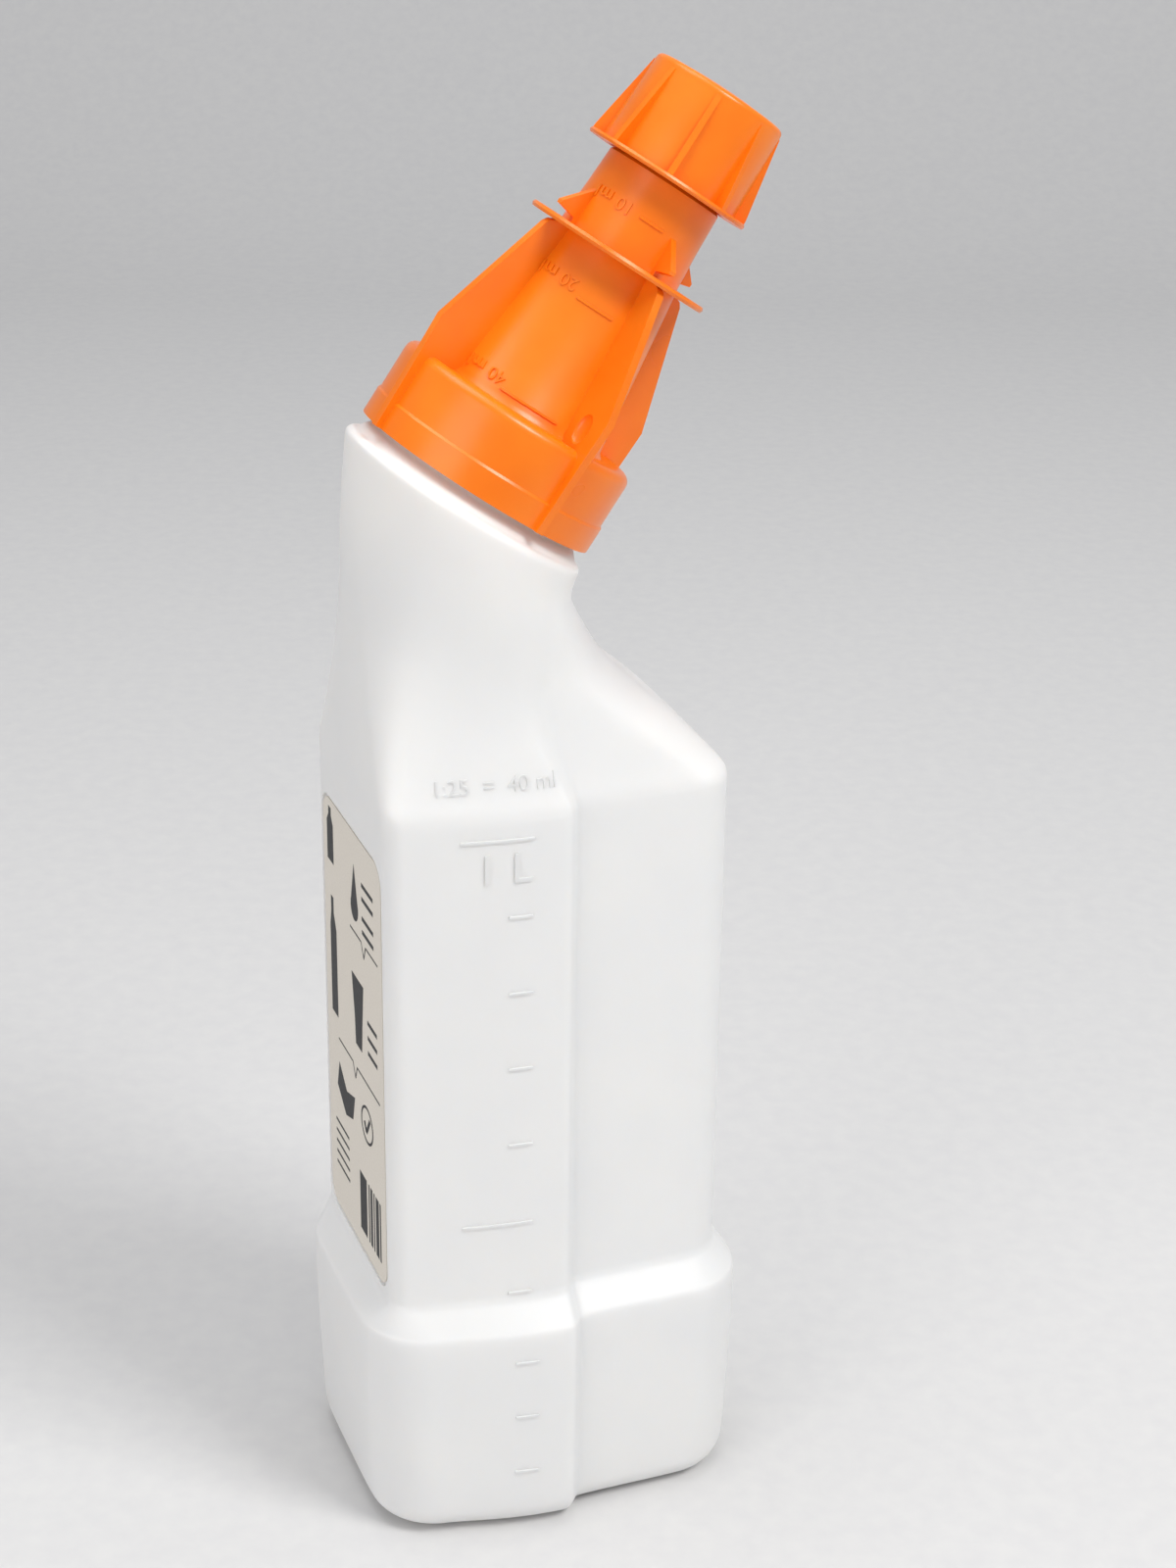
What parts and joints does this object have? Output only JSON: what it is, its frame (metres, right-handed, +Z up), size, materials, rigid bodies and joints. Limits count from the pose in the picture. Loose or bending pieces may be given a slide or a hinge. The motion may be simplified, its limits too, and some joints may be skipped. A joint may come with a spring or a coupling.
{
  "type": "fuel mixing bottle",
  "caption": "Upright plastic mixing bottle with a leaning neck, a finned screw-on measuring spout and a small ribbed screw cap.",
  "frame": {"origin": "centre of the base on the surface that the bottle stands on", "axes": "+Z up, the label on the -X side, the graduations on the -Y side, the neck leans towards +X"},
  "size_m": [0.1046, 0.0798, 0.3462],
  "materials": {
    "milky_hdpe": "satin",
    "label_paper": "matte",
    "orange_plastic": "satin",
    "seal_foam": "matte"
  },
  "bodies": {
    "bottle": {"bottle": "milky_hdpe", "label": "label_paper"},
    "neck_seal": {"neck_gasket": "seal_foam"},
    "spout": {"measuring_spout": "orange_plastic"},
    "cap_seal": {"cap_liner": "seal_foam"},
    "cap": {"spout_cap": "orange_plastic"}
  },
  "joints": [
    {"name": "spout_lift", "type": "slide", "parent": "bottle", "child": "neck_seal", "axis": [0.565, 0, 0.8251], "range_m": [0, 0.0075]},
    {"name": "spout_turn", "type": "hinge", "parent": "neck_seal", "child": "spout", "pos_m": [-0.0117, 0, 0.256], "axis": [0.565, 0, 0.8251], "range_deg": [0, 540]},
    {"name": "cap_lift", "type": "slide", "parent": "spout", "child": "cap_seal", "axis": [0.565, 0, 0.8251], "range_m": [0, 0.007]},
    {"name": "cap_turn", "type": "hinge", "parent": "cap_seal", "child": "cap", "pos_m": [-0.0117, 0, 0.256], "axis": [0.565, 0, 0.8251], "range_deg": [0, 720]}
  ],
  "couplings": [
    {"joint": "spout_lift", "follows": "spout_turn", "m_per_rad": 0.00079577},
    {"joint": "cap_lift", "follows": "cap_turn", "m_per_rad": 0.00055704}
  ]
}
